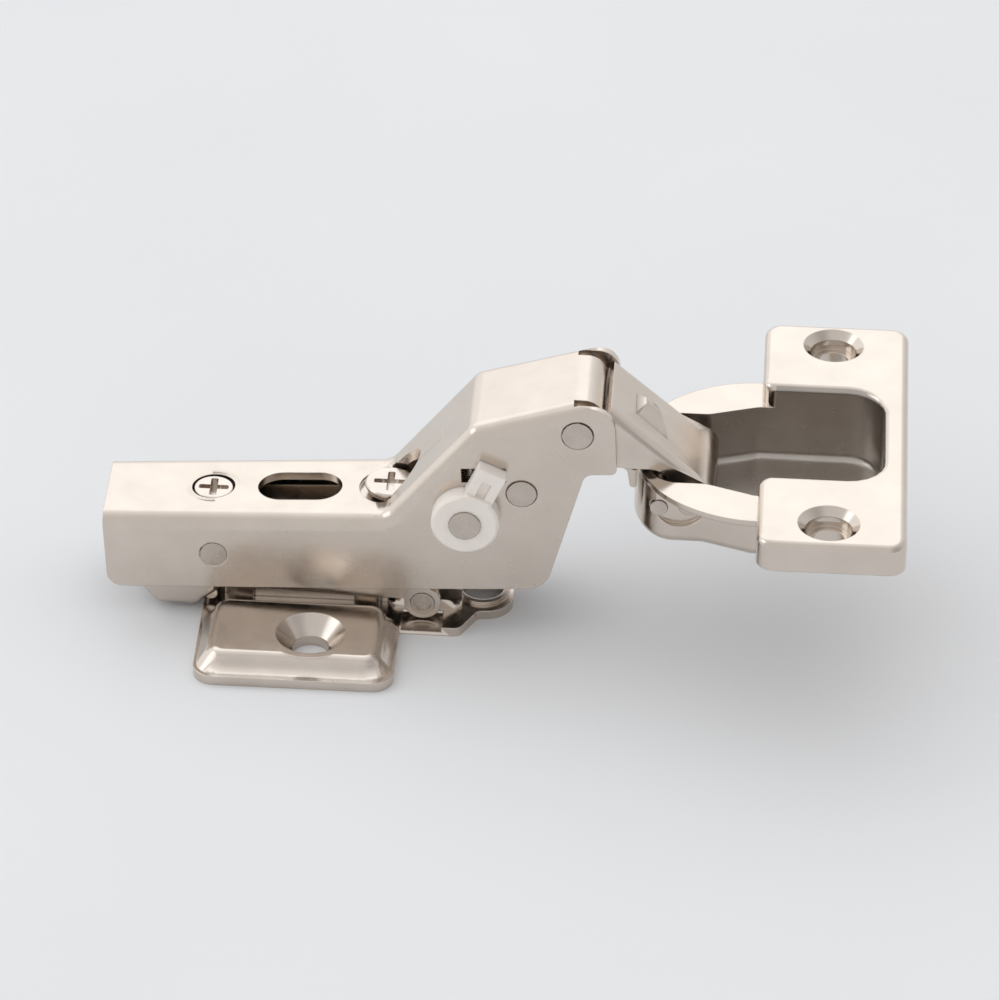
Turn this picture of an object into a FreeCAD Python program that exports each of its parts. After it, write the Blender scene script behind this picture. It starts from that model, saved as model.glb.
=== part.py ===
import FreeCAD, Part
import math
import os
import re

import Sketcher

# Clip-on concealed cabinet hinge with a drilled-in cup, open as photographed.
# X runs along the arm towards the cup, Y across, Z away from the cabinet side.
# The origin is the middle of the mounting plate's bottom face. Lengths are in mm.

# Driving sizes: each is written once, and everything else is bound to them.
SIZES = {
    # clearances and common values
    "FitGap": 0.02,
    "RunGap": 0.06,
    "SlideGap": 0.2,
    "Overshoot": 6.0,
    # mounting plate
    "PlateSheet": 1.4,
    "WingHalfLength": 14.0,
    "WingHalfSpan": 24.1,
    "WingCorner": 3.0,
    "TrayHalfLength": 12.3,
    "TrayInner": 7.6,
    "TrayOuter": 22.3,
    "TrayTop": 3.9,
    "TrayRounding": 1.6,
    "TrayCorner": 2.6,
    "ScrewPitch": 32.0,
    "ScrewPlace": 2.0,
    "ScrewHole": 2.5,
    "ScrewSeat": 4.85,
    "SeatWall": 1.2,
    "FrontFlangeEnd": 23.4,
    "FrontFlangeHalf": 9.8,
    "NoseEnd": 29.6,
    "NoseHalf": 5.2,
    "NoseHolePlace": 25.2,
    "NoseHole": 3.0,
    "NoseCollarWall": 0.8,
    "NeckHalf": 5.4,
    "NeckTop": 3.2,
    "NeckStart": 12.0,
    "RailHalf": 4.0,
    "RailTop": 7.5,
    "RailRear": 11.0,
    "RailFront": 13.9,
    "RailLipBottom": 4.3,
    "RailLipTop": 5.6,
    "RailLipRear": 13.8,
    "RailRounding": 1.0,
    "FrontLipEnd": 16.6,
    "FrontLipBottom": 5.5,
    # clip adapter
    "AdapterSheet": 1.1,
    "AdapterTop": 14.6,
    "AdapterRear": 16.0,
    "AdapterFront": 15.5,
    "AdapterRearHalf": 5.6,
    "AdapterFrontHalf": 7.0,
    "AdapterTaperStart": -10.0,
    "AdapterTaperEnd": 10.0,
    "AdapterBend": 1.6,
    "CheekBottom": 4.2,
    "FootBottom": 1.55,
    "FootRearStart": -11.0,
    "FootRearEnd": -7.0,
    "FootFrontStart": 7.4,
    "FootFrontEnd": 11.0,
    "LobeRadius": 2.55,
    "LobeGap": 0.3,
    "HookPlace": 17.05,
    "HookHeight": 3.55,
    "HookRadius": 1.7,
    "HookDimple": 0.9,
    "SaddlePlace": 12.0,
    "SaddleRadius": 3.4,
    "SaddleTop": 16.2,
    "RivetWindowBottom": 9.4,
    "RivetWindowTop": 13.4,
    "RivetWindowFront": -10.55,
    "NeckSlotRear": -16.9,
    "NeckSlotFront": -11.1,
    # release lever
    "LeverSheet": 0.8,
    "LeverRear": -22.5,
    "LeverTop": 9.1,
    "LeverPinPlace": -15.5,
    "LeverPinHeight": 7.2,
    "LeverPinRadius": 1.2,
    "LeverLobe": 2.3,
    "CatchPlace": -13.0,
    "CatchHeight": 3.0,
    "CatchRadius": 1.0,
    # screws
    "HeadRadius": 3.6,
    "HeadTop": 19.3,
    "HeadBottom": 18.15,
    "HeadStep": 0.55,
    "HeadLowerRadius": 3.3,
    "ShankRadius": 2.0,
    "ShankEnd": 9.0,
    "CrossLength": 2.1,
    "CrossHalf": 0.42,
    "CrossDepth": 0.9,
    "AdjusterPlace": -13.0,
    "AdjusterRadius": 2.4,
    "AdjusterTop": 17.0,
    "AdjusterBottom": 14.75,
    "AdjusterNeck": 1.3,
    "AdjusterCross": 1.7,
    "RetainerRadius": 2.5,
    "RetainerSheet": 0.55,
    # arm, in its own frame
    "ArmPitch": 3.0,
    "ArmSheet": 1.2,
    "ArmRear": -27.1,
    "ArmBottom": 6.05,
    "ArmTop": 17.77,
    "ArmRearHalf": 7.75,
    "ArmHalf": 8.4,
    "ArmRearCorner": 2.2,
    "SlopeStart": 12.4,
    "SlopeEnd": 25.4,
    "SlopeAngle": 48.5,
    "HumpAngle": 14.0,
    "HumpEnd": 39.6,
    "EarFall": 4.2,
    "EarFront": 45.3,
    "EarBottom": 25.3,
    "EarCorner": 3.2,
    "ThroatPlace": 40.9,
    "ArmFrontBottom": 34.7,
    "ArmFrontCorner": 3.6,
    "ThroatCorner": 1.5,
    "CrankBend": 3.0,
    "ArmBend": 2.2,
    "TongueHalf": 5.8,
    "TongueFront": 43.7,
    "TongueEnd": 31.5,
    "TongueBend": 2.9,
    "AdjusterHolePlace": -12.1,
    "OvalRear": -5.8,
    "OvalFront": 6.1,
    "OvalHalf": 3.45,
    "DishPlace": 12.9,
    "DishRadius": 4.4,
    "DishDepth": 0.7,
    "DishTravel": 2.5,
    "DishHeight": 19.1,
    "DriverSlotHalf": 1.3,
    "DriverSlotEnd": 18.1,
    "WindowRear": 23.7,
    "WindowFront": 29.9,
    "WindowBottom": 24.0,
    "WindowTop": 26.3,
    # arm pins, in the arm's frame
    "OuterPinPlace": 40.07,
    "OuterPinHeight": 31.75,
    "OuterPinHead": 2.1,
    "OuterPinShank": 1.6,
    "InnerPinPlace": 32.0,
    "InnerPinHeight": 22.16,
    "InnerPinHead": 2.05,
    "InnerPinShank": 1.5,
    "AxlePlace": 24.1,
    "AxleHeight": 18.6,
    "AxleRadius": 2.2,
    "AxleStand": 0.3,
    "RivetPlace": -11.76,
    "RivetHeight": 11.53,
    "RivetHead": 1.85,
    "RivetShank": 1.0,
    "PinStand": 0.2,
    # collars and spring
    "CollarRadius": 4.75,
    "CollarThickness": 2.6,
    "CollarLength": 9.2,
    "CollarLugHalf": 2.08,
    "CollarAngle": 63.0,
    "CollarChamfer": 0.4,
    "SpringWire": 0.75,
    "SpringCoil": 3.4,
    "SpringInner": 2.9,
    "SpringOuter": 6.7,
    # cup, in its own frame
    "CupPlace": 63.6,
    "CupHeight": 30.8,
    "CupWall": 1.2,
    "CupDisc": 17.5,
    "CupDiscTop": -3.65,
    "DoorFace": -4.5,
    "CupDepth": 13.2,
    "FlangeLength": 20.4,
    "FlangeHalf": 28.0,
    "FlangeCorner": 2.5,
    "FlangeRounding": 0.9,
    "CupScrewPlace": 9.75,
    "CupScrewPitch": 45.0,
    "CupScrewHole": 2.2,
    "CupSeatTop": 4.3,
    "CupSeatLower": 3.2,
    "CupLedge": 1.3,
    "PotRear": 17.3,
    "PotNarrow": 10.0,
    "PotWide": 12.4,
    "PotFront": 18.2,
    "PotDiagonalStart": -7.7,
    "PotDiagonalEnd": -0.8,
    "PotCorner": 5.5,
    "PotEndHalf": 3.6,
    "PotShoulderPlace": -15.6,
    "PotShoulderHalf": 8.0,
    "PotSideStart": -13.0,
    "LinkSlotHalf": 2.7,
    "LinkSlotBottom": -9.4,
    "RecessPlace": -10.9,
    "RecessHeight": -6.4,
    "RecessRadius": 3.8,
    "RecessDepth": 0.8,
    "CupOuterPlace": -9.5,
    "CupOuterHeight": -7.3,
    "CupOuterPin": 1.4,
    "CupInnerPlace": -13.7,
    "CupInnerHeight": -7.7,
    "CupInnerPin": 1.2,
    # outer link
    "LinkSheet": 1.1,
    "LinkHalf": 7.1,
    "LinkEye": 3.0,
    "LinkEar": 2.6,
    "LinkTopRear": 5.2,
    "LinkWebRear": 1.9,
    "LinkTopFront": 3.1,
    "LinkBend": 1.6,
    "LinkWrap": 3.7,
    "LinkWebEnd": 1.9,
    # inner link
    "InnerHalf": 2.4,
    "InnerEye": 2.1,
    "NeckTopSide": 1.2,
    "NeckLowSide": 1.5,
    "ArchFront": 4.8,
    "ArchRear": 11.0,
    "ArchLow": 1.6,
    "ArchTop": 5.5,
    "SlotPlace": 0.13,
    "SlotHeight": 0.79,
    "SlotWide": 0.53,
    "SlotTall": 0.9,
    "SlotCorner": 1.0,
    "SlotWall": 1.4,
    "SlotGap": 0.1,
    "SpacerRadius": 2.3,
}

# Derived sizes: formulas over the driving ones.
DERIVED = {
    "ArmInner": "ArmHalf - ArmSheet",
    "SlopeRise": "(SlopeEnd - SlopeStart) * tan(SlopeAngle)",
    "HumpStartHeight": "ArmTop + SlopeRise",
    "HumpEndHeight": "HumpStartHeight + (HumpEnd - SlopeEnd) * tan(HumpAngle)",
    "EarTop": "HumpEndHeight - (EarFront - HumpEnd) * tan(EarFall)",
    "WebUnder": "ArmTop - ArmSheet",
    "UnderSlopeStart": "SlopeStart + ArmSheet * tan(SlopeAngle / 2)",
    "TopBend": "(SlopeAngle + HumpAngle) / 2",
    "TopOffset": "ArmSheet / cos((SlopeAngle - HumpAngle) / 2)",
    "UnderSlopeEnd": "SlopeEnd + TopOffset * sin(TopBend)",
    "UnderHumpStart": "HumpStartHeight - TopOffset * cos(TopBend)",
    "UnderHumpEnd": "HumpEndHeight - ArmSheet",
    "DishFloor": "ArmTop - DishDepth",
    "CupPinWorldX": "CupPlace + CupOuterPlace",
    "CupPinWorldZ": "CupHeight + CupOuterHeight",
    "CupInnerWorldX": "CupPlace + CupInnerPlace",
    "CupInnerWorldZ": "CupHeight + CupInnerHeight",
    "OuterPinWorldX": "OuterPinPlace * cos(ArmPitch) - OuterPinHeight * sin(ArmPitch)",
    "OuterPinWorldZ": "OuterPinPlace * sin(ArmPitch) + OuterPinHeight * cos(ArmPitch)",
    "InnerPinWorldX": "InnerPinPlace * cos(ArmPitch) - InnerPinHeight * sin(ArmPitch)",
    "InnerPinWorldZ": "InnerPinPlace * sin(ArmPitch) + InnerPinHeight * cos(ArmPitch)",
    "LinkRun": "CupPinWorldX - OuterPinWorldX",
    "LinkDrop": "OuterPinWorldZ - CupPinWorldZ",
    "LinkLength": "sqrt(LinkRun * LinkRun + LinkDrop * LinkDrop)",
    "LinkAngle": "atan(LinkDrop / LinkRun)",
    "InnerRun": "CupInnerWorldX - InnerPinWorldX",
    "InnerDrop": "InnerPinWorldZ - CupInnerWorldZ",
    "InnerLength": "sqrt(InnerRun * InnerRun + InnerDrop * InnerDrop)",
    "InnerAngle": "atan(InnerDrop / InnerRun)",
    "PinWall": "PotNarrow - RecessDepth",
}

doc = FreeCAD.newDocument("ConcealedHinge")
sheet = doc.addObject("Spreadsheet::Sheet", "Sizes")
for row, (alias, value) in enumerate(SIZES.items(), 1):
    sheet.set(f"A{row}", alias)
    sheet.set(f"B{row}", str(value))
    sheet.setAlias(f"B{row}", alias)
doc.recompute()


def bind(text, own_sheet=False):
    """Point the capitalised words of a formula at their cells."""
    def cell(match):
        word = match.group(0)
        if word in SIZES:
            return "Sizes." + word
        return word if own_sheet else "Derived." + word
    return re.sub(r"\b[A-Z][A-Za-z]+\b", cell, str(text))


derived = doc.addObject("Spreadsheet::Sheet", "Derived")
for row, (alias, formula) in enumerate(DERIVED.items(), 1):
    derived.set(f"A{row}", alias)
    derived.set(f"B{row}", "=" + bind(formula, own_sheet=True))
    derived.setAlias(f"B{row}", alias)
doc.recompute()


def size(alias):
    """The present value of one named size."""
    return float((sheet if alias in SIZES else derived).get(alias))


def new_body(name):
    body = doc.addObject("PartDesign::Body", name)
    body.Label = name
    return body


def place(body, x="0", z="0", nose_down=None):
    """Put a body at a place in the XZ plane, turned about the Y direction."""
    body.setExpression(".Placement.Base.x", bind(x))
    body.setExpression(".Placement.Base.z", bind(z))
    if nose_down:
        body.Placement.Rotation = FreeCAD.Rotation(FreeCAD.Vector(0, 1, 0), 1)
        body.setExpression(".Placement.Rotation.Angle", bind(nose_down))


def plane(body, role):
    return next(f for f in body.Origin.OriginFeatures if f.Role == role)


def new_sketch(body, role, lift="0"):
    sketch = body.newObject("Sketcher::SketchObject", body.Name + "_sketch")
    sketch.AttachmentSupport = [(plane(body, role), "")]
    sketch.MapMode = "FlatFace"
    if lift != "0":
        sketch.setExpression("AttachmentOffset.Base.z", bind(lift))
    return sketch


def pin_point(sketch, index, end, x, y):
    """Hold one point of the sketch at a place given by two formulas."""
    for kind, formula in (("DistanceX", x), ("DistanceY", y)):
        now = numbers([formula])[0]
        number = sketch.addConstraint(Sketcher.Constraint(kind, -1, 1, index, end, now))
        sketch.setExpression(f"Constraints[{number}]", bind(formula))


def numbers(formulas):
    """The numbers that some formulas over the sizes give now."""
    for row, formula in enumerate(formulas, 1):
        scratch.set(f"A{row}", "=" + bind(formula))
    doc.recompute([scratch])
    return [float(scratch.get(f"A{row}")) for row in range(1, len(formulas) + 1)]


def corner_arc(before, corner, after, radius):
    """The arc that rounds a corner, how much it trims, and whether it turns left."""
    into = (corner - before).normalize()
    out = (after - corner).normalize()
    left = into.cross(out).z > 0
    angle = into.getAngle(out)
    trim = radius * math.tan(angle / 2)
    side = 1 if left else -1
    normal = FreeCAD.Vector(-into.y, into.x, 0) * side
    centre = corner - into * trim + normal * radius
    first = corner - into * trim - centre
    last = corner + out * trim - centre
    if not left:
        first, last = last, first
    start = math.atan2(first.y, first.x)
    arc = Part.ArcOfCircle(Part.Circle(centre, FreeCAD.Vector(0, 0, 1), radius), start, start + angle)
    return arc, trim, left


def outline(body, role, corners, lift="0"):
    """A closed outline through corners (x, y), or (x, y, radius) where one is rounded."""
    sketch = new_sketch(body, role, lift)
    count = len(corners)
    found = numbers([part for corner in corners for part in (corner + ("0",))[:3]])
    points = [FreeCAD.Vector(found[3 * i], found[3 * i + 1], 0) for i in range(count)]
    arcs = [corner_arc(points[i - 1], points[i], points[(i + 1) % count], found[3 * i + 2])
            if len(corners[i]) > 2 else None for i in range(count)]
    for i in range(count):
        start, end = points[i], points[(i + 1) % count]
        run = (end - start).normalize()
        trims = [arcs[j][1] if arcs[j] else 0 for j in (i, (i + 1) % count)]
        sketch.addGeometry(Part.LineSegment(start + run * trims[0], end - run * trims[1]), False)
    for i, corner in enumerate(corners):
        last = (i - 1) % count
        if not arcs[i]:
            sketch.addConstraint(Sketcher.Constraint("Coincident", last, 2, i, 1))
            pin_point(sketch, i, 1, corner[0], corner[1])
            continue
        arc, _, left = arcs[i]
        number = sketch.addGeometry(arc, False)
        near, far = (1, 2) if left else (2, 1)
        sketch.addConstraint(Sketcher.Constraint("Tangent", last, 2, number, near))
        sketch.addConstraint(Sketcher.Constraint("Tangent", i, 1, number, far))
        radius = sketch.addConstraint(Sketcher.Constraint("Radius", number, arc.Radius))
        point = sketch.addGeometry(Part.Point(points[i]), True)
        sketch.addConstraint(Sketcher.Constraint("PointOnObject", point, 1, last))
        sketch.addConstraint(Sketcher.Constraint("PointOnObject", point, 1, i))
        pin_point(sketch, point, 1, corner[0], corner[1])
        sketch.setExpression(f"Constraints[{radius}]", bind(corner[2]))
    return sketch


def circle(body, role, x, y, radius, lift="0"):
    sketch = new_sketch(body, role, lift)
    sketch.addGeometry(Part.Circle(FreeCAD.Vector(0, 0, 0), FreeCAD.Vector(0, 0, 1), 1.0), False)
    number = sketch.addConstraint(Sketcher.Constraint("Radius", 0, 1.0))
    sketch.setExpression(f"Constraints[{number}]", bind(radius))
    pin_point(sketch, 0, 3, x, y)
    return sketch


def slot(body, role, first, second, y, half, lift="0"):
    """An obround along the sketch's X from first to second centre."""
    sketch = new_sketch(body, role, lift)
    start, finish, height, reach = numbers([first, second, y, half])
    up = FreeCAD.Vector(0, 0, 1)
    left = FreeCAD.Vector(start, height, 0)
    right = FreeCAD.Vector(finish, height, 0)
    sketch.addGeometry(Part.ArcOfCircle(Part.Circle(left, up, reach), math.pi / 2, 3 * math.pi / 2), False)
    sketch.addGeometry(Part.ArcOfCircle(Part.Circle(right, up, reach), -math.pi / 2, math.pi / 2), False)
    offset = FreeCAD.Vector(0, reach, 0)
    sketch.addGeometry(Part.LineSegment(left - offset, right - offset), False)
    sketch.addGeometry(Part.LineSegment(right + offset, left + offset), False)
    sketch.addConstraint(Sketcher.Constraint("Tangent", 0, 2, 2, 1))
    sketch.addConstraint(Sketcher.Constraint("Tangent", 2, 2, 1, 1))
    sketch.addConstraint(Sketcher.Constraint("Tangent", 1, 2, 3, 1))
    sketch.addConstraint(Sketcher.Constraint("Tangent", 3, 2, 0, 1))
    number = sketch.addConstraint(Sketcher.Constraint("Radius", 0, reach))
    sketch.setExpression(f"Constraints[{number}]", bind(half))
    pin_point(sketch, 0, 3, first, y)
    pin_point(sketch, 1, 3, second, y)
    return sketch


def feature(body, kind, sketch, length=None, both=True, backward=False, through=False):
    """A pad or pocket of a sketch, symmetric about its plane or to one side."""
    made = body.newObject("PartDesign::" + kind, body.Name + "_" + kind.lower())
    made.Profile = sketch
    made.SideType = "Symmetric" if both else "One side"
    made.Reversed = backward
    if through:
        made.Type = "ThroughAll"
    else:
        made.setExpression("Length", bind(length))
    doc.recompute()
    return made


def turn(body, kind, sketch, axis="V_Axis"):
    """A full revolution or groove of a half profile about a sketch axis."""
    made = body.newObject("PartDesign::" + kind, body.Name + "_" + kind.lower())
    made.Profile = sketch
    made.ReferenceAxis = (sketch, [axis])
    made.Angle = 360
    doc.recompute()
    return made


def edge_names(body, test):
    shape = body.Tip.Shape
    return [f"Edge{i}" for i, edge in enumerate(shape.Edges, 1) if test(edge)]


def round_edges(body, radius, test, kind="Fillet"):
    """Round or bevel the edges of the body that pass a test."""
    names = edge_names(body, test)
    if not names:
        raise RuntimeError("no edges to round on " + body.Name)
    base = body.Tip
    made = body.newObject("PartDesign::" + kind, body.Name + "_" + kind.lower())
    made.Base = (base, names)
    made.setExpression("Radius" if kind == "Fillet" else "Size", bind(radius))
    doc.recompute()
    if "Invalid" in made.State or "Error" in made.State:
        raise RuntimeError(f"{body.Name} cannot be rounded by {radius} at {names}")
    return made


def block(body, role, corners, length, both=True, lift="0", backward=False, kind="Pad"):
    """Pad or pocket an outline."""
    return feature(body, kind, outline(body, role, corners, lift), length, both, backward)


def box_corners(left, right, low, high, radius=None):
    corners = [(left, low), (right, low), (right, high), (left, high)]
    return [corner + (radius,) for corner in corners] if radius else corners


def turned_pin(name, steps):
    """A pin along Y, whose half profile is (radius, distance) steps."""
    body = new_body(name)
    corners = [("0", steps[0][1])] + steps + [("0", steps[-1][1])]
    turn(body, "Revolution", outline(body, "XY_Plane", corners))
    return body


def headed_pin(name, head, shank, stand):
    """A riveted pin: heads in both arm walls, a thinner shank between them."""
    out = f"ArmHalf + {stand}"
    inner = "ArmInner"
    return turned_pin(name, [
        (head, f"-({out})"), (head, f"-{inner}"), (shank, f"-{inner}"),
        (shank, inner), (head, inner), (head, out)])


scratch = doc.addObject("Spreadsheet::Sheet", "Scratch")


def is_level(edge, height):
    box = edge.BoundBox
    return abs(box.ZMin - height) < 0.01 and abs(box.ZMax - height) < 0.01


def base_plate():
    body = new_body("base_plate")
    block(body, "XY_Plane", box_corners("-WingHalfLength", "WingHalfLength", "-WingHalfSpan",
                                        "WingHalfSpan", "WingCorner"), "PlateSheet", both=False)
    block(body, "XY_Plane", [
        ("0", "-FrontFlangeHalf"), ("FrontFlangeEnd - 1", "-FrontFlangeHalf", "1.5"),
        ("FrontFlangeEnd + 1.4", "-NoseHalf", "1"), ("NoseEnd", "-NoseHalf", "4"),
        ("NoseEnd", "NoseHalf", "4"), ("FrontFlangeEnd + 1.4", "NoseHalf", "1"),
        ("FrontFlangeEnd - 1", "FrontFlangeHalf", "1.5"), ("0", "FrontFlangeHalf")],
        "PlateSheet", both=False)
    for side in ("", "-"):
        corners = box_corners("-TrayHalfLength", "TrayHalfLength", f"{side}TrayInner", f"{side}TrayOuter",
                              "TrayCorner")
        block(body, "XY_Plane", corners, "TrayTop", both=False)
    top = size("TrayTop")
    round_edges(body, "TrayRounding", lambda edge: is_level(edge, top))
    for side in ("", "-"):
        block(body, "XY_Plane", box_corners(
            "-(TrayHalfLength - PlateSheet)", "TrayHalfLength - PlateSheet",
            f"{side}(TrayInner + PlateSheet)", f"{side}(TrayOuter - PlateSheet)", "TrayCorner - PlateSheet"),
            "TrayTop - PlateSheet", both=False, kind="Pocket", backward=True)
        boss = circle(body, "XY_Plane", "ScrewPlace", f"{side}ScrewPitch / 2", "ScrewSeat + SeatWall")
        feature(body, "Pad", boss, "TrayTop", both=False)
        sink = new_sink(body, f"{side}ScrewPitch / 2")
        turn(body, "Groove", sink[0], sink[1])
    block(body, "XY_Plane", box_corners("NeckStart", "22.5", "-NeckHalf", "NeckHalf", "1.2"),
          "NeckTop", both=False)
    block(body, "XZ_Plane", box_corners("HookPlace - HookRadius - LobeGap", "HookPlace + HookRadius + LobeGap",
                                        "PlateSheet", "NeckTop + 1"), "3 * NeckHalf", kind="Pocket")
    for side in ("", "-"):
        block(body, "XY_Plane", box_corners(
            "HookPlace - LobeRadius - LobeGap", "HookPlace + LobeRadius + LobeGap",
            f"{side}(AdapterFrontHalf - AdapterSheet - LobeGap)", f"{side}(FrontFlangeHalf + 1)"),
            "PlateSheet", both=False, lift="HookHeight - LobeRadius - LobeGap", kind="Pocket", backward=True)
    block(body, "XZ_Plane", [
        ("-RailRear", "0"), ("-RailRear", "RailLipBottom"), ("-RailLipRear", "RailLipBottom"),
        ("-RailLipRear", "RailLipTop"), ("-RailRear", "RailTop", "RailRounding"),
        ("RailFront", "RailTop", "RailRounding"), ("FrontLipEnd", "RailLipTop + 1.0"),
        ("FrontLipEnd", "FrontLipBottom"), ("RailFront", "FrontLipBottom"), ("RailFront", "0")],
        "2 * RailHalf")
    tunnel = [("-30", "PlateSheet"), ("30", "PlateSheet"), ("30", "RailTop - PlateSheet"),
              ("-30", "RailTop - PlateSheet")]
    block(body, "XZ_Plane", tunnel[:], "2 * (RailHalf - PlateSheet)", kind="Pocket")
    collar = circle(body, "XY_Plane", "NoseHolePlace", "0", "NoseHole + NoseCollarWall")
    feature(body, "Pad", collar, "PlateSheet + 0.5", both=False)
    hole = circle(body, "XY_Plane", "NoseHolePlace", "0", "NoseHole")
    feature(body, "Pocket", hole, "NeckTop * 2", both=True)
    return body


def new_sink(body, y):
    """The countersunk hole's half profile, on a plane through its axis."""
    sketch = outline(body, "YZ_Plane", [
        (f"{y}", "-1"), (f"{y} + ScrewHole", "-1"), (f"{y} + ScrewHole", "TrayTop - (ScrewSeat - ScrewHole)"),
        (f"{y} + ScrewSeat", "TrayTop"), (f"{y} + ScrewSeat", "TrayTop + 1"), (f"{y}", "TrayTop + 1")],
        lift="ScrewPlace")
    axis = len(sketch.Geometry)
    sketch.addGeometry(Part.LineSegment(FreeCAD.Vector(0, 0), FreeCAD.Vector(0, 5)), True)
    pin_point(sketch, axis, 1, y, "0")
    pin_point(sketch, axis, 2, y, "5")
    return sketch, "Axis0"


def adapter():
    body = new_body("adapter")
    block(body, "XZ_Plane", [
        ("-AdapterRear", "AdapterTop"), ("-AdapterRear", "LeverPinHeight + LeverLobe"),
        ("-(AdapterRear + 1.8)", "LeverPinHeight + LeverLobe", "LeverLobe - 0.6"),
        ("-(AdapterRear + 1.8)", "LeverPinHeight - LeverLobe", "LeverLobe - 0.6"),
        ("-AdapterRear + 2", "CheekBottom"), ("FootRearStart", "CheekBottom"),
        ("FootRearStart", "FootBottom"), ("FootRearEnd", "FootBottom"), ("FootRearEnd", "CheekBottom"),
        ("FootFrontStart", "CheekBottom"), ("FootFrontStart", "FootBottom"),
        ("FootFrontEnd", "FootBottom"), ("FootFrontEnd", "CheekBottom"),
        ("HookPlace - LobeRadius", "CheekBottom"), ("HookPlace - LobeRadius", "HookHeight"),
        ("HookPlace + LobeRadius", "HookHeight"), ("HookPlace + 0.8 * LobeRadius", "HookHeight + 0.7 * LobeRadius"),
        ("AdapterFront + 0.6", "HookHeight + LobeRadius + 1", "1.5"), ("AdapterFront", "AdapterTop")],
        "2 * AdapterFrontHalf")
    lobe = circle(body, "XZ_Plane", "HookPlace", "HookHeight", "LobeRadius")
    feature(body, "Pad", lobe, "2 * AdapterFrontHalf", both=True)
    for side in ("", "-"):
        block(body, "XY_Plane", [
            ("-30", f"{side}AdapterRearHalf"), ("AdapterTaperStart", f"{side}AdapterRearHalf"),
            ("AdapterTaperEnd", f"{side}AdapterFrontHalf"), ("AdapterTaperEnd", f"{side}30"),
            ("-30", f"{side}30")], "60", kind="Pocket")
    top = size("AdapterTop")
    round_edges(body, "AdapterBend", lambda edge: is_level(edge, top) and abs(edge.CenterOfMass.y) > 4)
    inner = "AdapterTop - AdapterSheet"
    walls = [("-30", "-30"), ("30", "-30"), ("30", inner), ("-30", inner)]
    block(body, "XZ_Plane", walls, "2 * (AdapterRearHalf - AdapterSheet)", kind="Pocket")
    for side in ("", "-"):
        block(body, "XY_Plane", [
            ("AdapterTaperStart", "0"), ("AdapterTaperStart", f"{side}(AdapterRearHalf - AdapterSheet)"),
            ("AdapterTaperEnd", f"{side}(AdapterFrontHalf - AdapterSheet)"),
            ("30", f"{side}(AdapterFrontHalf - AdapterSheet)"), ("30", "0")],
            "60", both=False, lift=inner, kind="Pocket")
    saddle = circle(body, "XY_Plane", "SaddlePlace", "0", "SaddleRadius", lift=inner)
    feature(body, "Pad", saddle, "SaddleTop - AdapterTop + AdapterSheet", both=False)
    thread = circle(body, "XY_Plane", "SaddlePlace", "0", "ShankRadius + FitGap", lift=inner)
    feature(body, "Pocket", thread, "20", both=True)
    neck = slot(body, "XY_Plane", "NeckSlotRear", "AdjusterPlace + 0.6", "0", "AdjusterNeck + RunGap", lift=inner)
    feature(body, "Pocket", neck, "20", both=True)
    window = outline(body, "XZ_Plane", box_corners("-30", "RivetWindowFront", "RivetWindowBottom",
                                                   "RivetWindowTop"))
    feature(body, "Pocket", window, "30", both=True)
    hook = circle(body, "XZ_Plane", "HookPlace", "HookHeight", "HookRadius")
    feature(body, "Pocket", hook, "60", both=True)
    pivot = circle(body, "XZ_Plane", "LeverPinPlace", "LeverPinHeight", "LeverPinRadius + FitGap")
    feature(body, "Pocket", pivot, "60", both=True)
    return body


def hook_pin():
    body = turned_pin("hook_pin", [("HookRadius - FitGap", "-(AdapterFrontHalf + PinStand)"),
                                   ("HookRadius - FitGap", "AdapterFrontHalf + PinStand")])
    for side in ("", "-"):
        dimple = circle(body, "XZ_Plane", "0", "0", "HookDimple", lift=f"{side}(AdapterFrontHalf + PinStand)")
        feature(body, "Pocket", dimple, "1.2", both=True)
    place(body, "HookPlace", "HookHeight")
    return body


def lever_pin():
    half = "(AdapterRearHalf + LeverSheet + FitGap * 4)"
    body = turned_pin("lever_pin", [("LeverPinRadius", f"-{half}"), ("LeverPinRadius", half)])
    place(body, "LeverPinPlace", "LeverPinHeight")
    return body


def release_lever():
    body = new_body("release_lever")
    half = "(AdapterRearHalf + FitGap * 4 + LeverSheet)"
    block(body, "XZ_Plane", [
        ("LeverRear", "3.15"), ("-20.7", "1.05", "1"), ("-15.2", "0.85", "1.5"), ("-11.7", "3.65", "0.8"),
        ("-12.2", "5.4", "1"), ("-13.4", "LeverTop", "1.5"), ("LeverRear", "LeverTop", "1")], f"2 * {half}")
    left = size("LeverRear") + 0.01
    round_edges(body, "1", lambda edge: edge.BoundBox.XMax < left and edge.BoundBox.YLength < 0.01)
    hollow = [("LeverRear + LeverSheet", "-5"), ("0", "-5"), ("0", "20"), ("LeverRear + LeverSheet", "20")]
    block(body, "XZ_Plane", hollow, f"2 * ({half} - LeverSheet)", kind="Pocket")
    bar = circle(body, "XZ_Plane", "CatchPlace", "CatchHeight", "CatchRadius")
    feature(body, "Pad", bar, f"2 * {half} - LeverSheet", both=True)
    pivot = circle(body, "XZ_Plane", "LeverPinPlace", "LeverPinHeight", "LeverPinRadius + RunGap")
    feature(body, "Pocket", pivot, "60", both=True)
    return body


def cross_recess(body, top, length, depth):
    """A cross-shaped driver recess in a screw head."""
    arm = length
    half = "CrossHalf"
    for along in (True, False):
        wide, tall = (arm, half) if along else (half, arm)
        mark = outline(body, "XY_Plane", box_corners(f"-{wide}", wide, f"-{tall}", tall), lift=top)
        feature(body, "Pocket", mark, depth, both=False)


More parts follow.
